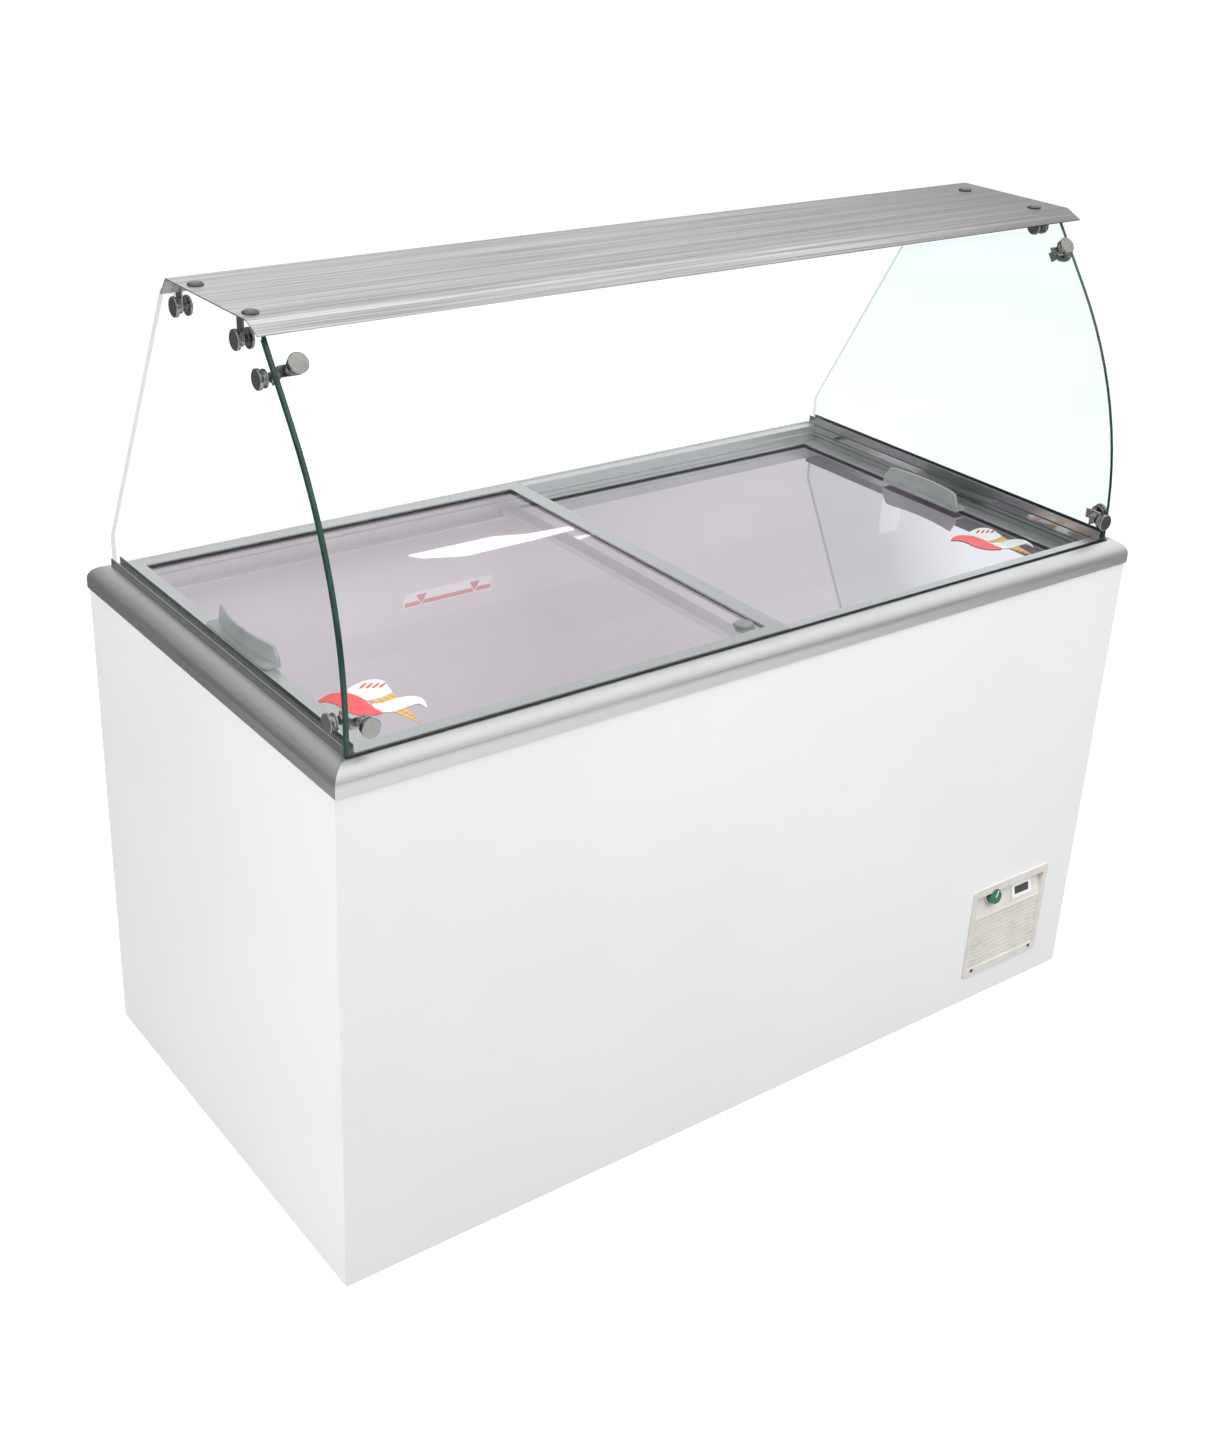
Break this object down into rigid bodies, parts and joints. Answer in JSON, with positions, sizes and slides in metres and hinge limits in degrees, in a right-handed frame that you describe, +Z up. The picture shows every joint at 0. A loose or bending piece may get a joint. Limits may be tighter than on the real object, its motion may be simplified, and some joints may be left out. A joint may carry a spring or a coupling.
{
  "type": "chest freezer",
  "caption": "Ice-cream display chest freezer with a white steel cabinet, sliding glass lids, curved glass canopy, stainless shelf and front control panel.",
  "frame": {"origin": "on the floor under the centre of the cabinet's footprint", "axes": "+X along the cabinet to the customer's right, +Y from the customer's side to the server's side, +Z up"},
  "size_m": [1.373, 0.7098, 1.2346],
  "materials": {
    "white_steel": "gloss white coil coating",
    "aluminium": "satin anodised",
    "stainless": "brushed lengthwise",
    "chrome": "polished",
    "glass": "clear tempered, polished edges",
    "liner_white": "white baked enamel",
    "foam": "rigid foam, as moulded",
    "zinc_steel": "galvanised",
    "grey_plastic": "translucent grey",
    "cream_plastic": "fine texture",
    "green_plastic": "smooth",
    "black_paint": "black enamel",
    "black_rubber": "matt"
  },
  "bodies": {
    "root": {"back_panel": "white_steel", "base_pan": "zinc_steel", "canopy_shelf": "stainless", "cap_bolt_front_left": "chrome", "cap_bolt_front_right": "chrome", "cap_bolt_rear_left": "chrome", "cap_bolt_rear_right": "chrome", "compressor": "black_paint", "condenser": "zinc_steel", "connector_bottom_left": "chrome", "connector_bottom_right": "chrome", "connector_top_left": "chrome", "connector_top_right": "chrome", "control_panel": "cream_plastic", "cord_gland": "black_rubber", "fan_motor": "black_paint", "foot_front_left": "black_rubber", "foot_front_right": "black_rubber", "foot_rear_left": "black_rubber", "foot_rear_right": "black_rubber", "front_disc_bottom_left": "chrome", "front_disc_bottom_right": "chrome", "front_disc_top_left": "chrome", "front_disc_top_right": "chrome", "front_glass": "glass", "front_panel": "white_steel", "glass_channel_left": "aluminium", "glass_channel_right": "aluminium", "hanger_disc_front_left": "chrome", "hanger_disc_front_right": "chrome", "hanger_disc_rear_left": "chrome", "hanger_disc_rear_right": "chrome", "hanger_front_left": "chrome", "hanger_front_right": "chrome", "hanger_rear_left": "chrome", "hanger_rear_right": "chrome", "insulation_foam": "foam", "left_panel": "white_steel", "right_panel": "white_steel", "rim_front": "aluminium", "rim_left": "aluminium", "rim_rear": "aluminium", "rim_right": "aluminium", "side_disc_bottom_left": "chrome", "side_disc_bottom_right": "chrome", "side_disc_top_left": "chrome", "side_disc_top_right": "chrome", "side_glass_left": "glass", "side_glass_right": "glass", "tank_liner": "liner_white", "thermometer": "cream_plastic"},
    "left_lid": {"left_lid_frame": "aluminium", "left_lid_glass": "glass", "left_lid_handle": "grey_plastic"},
    "right_lid": {"right_lid_frame": "aluminium", "right_lid_glass": "glass", "right_lid_handle": "grey_plastic"},
    "lid_lock": {"lid_lock": "grey_plastic"},
    "thermostat_knob": {"thermostat_knob": "green_plastic"},
    "fan": {"fan_blade": "grey_plastic"}
  },
  "joints": [
    {"name": "left_lid_slide", "type": "slide", "parent": "root", "child": "left_lid", "axis": [1, 0, 0], "range_m": [0, 0.57]},
    {"name": "right_lid_slide", "type": "slide", "parent": "root", "child": "right_lid", "axis": [1, 0, 0], "range_m": [-0.57, 0]},
    {"name": "lid_lock_turn", "type": "hinge", "parent": "left_lid", "child": "lid_lock", "pos_m": [-0.024, -0.281, 0.7661], "axis": [0, 0, 1], "range_deg": [0, 90]},
    {"name": "thermostat_turn", "type": "hinge", "parent": "root", "child": "thermostat_knob", "pos_m": [0.503, -0.34252, 0.19], "axis": [0, -0.9748, 0.2231], "range_deg": [-120, 180]},
    {"name": "fan_spin", "type": "hinge", "parent": "root", "child": "fan", "pos_m": [0.52, -0.269, 0.11], "axis": [0, 1, 0], "continuous": true}
  ]
}
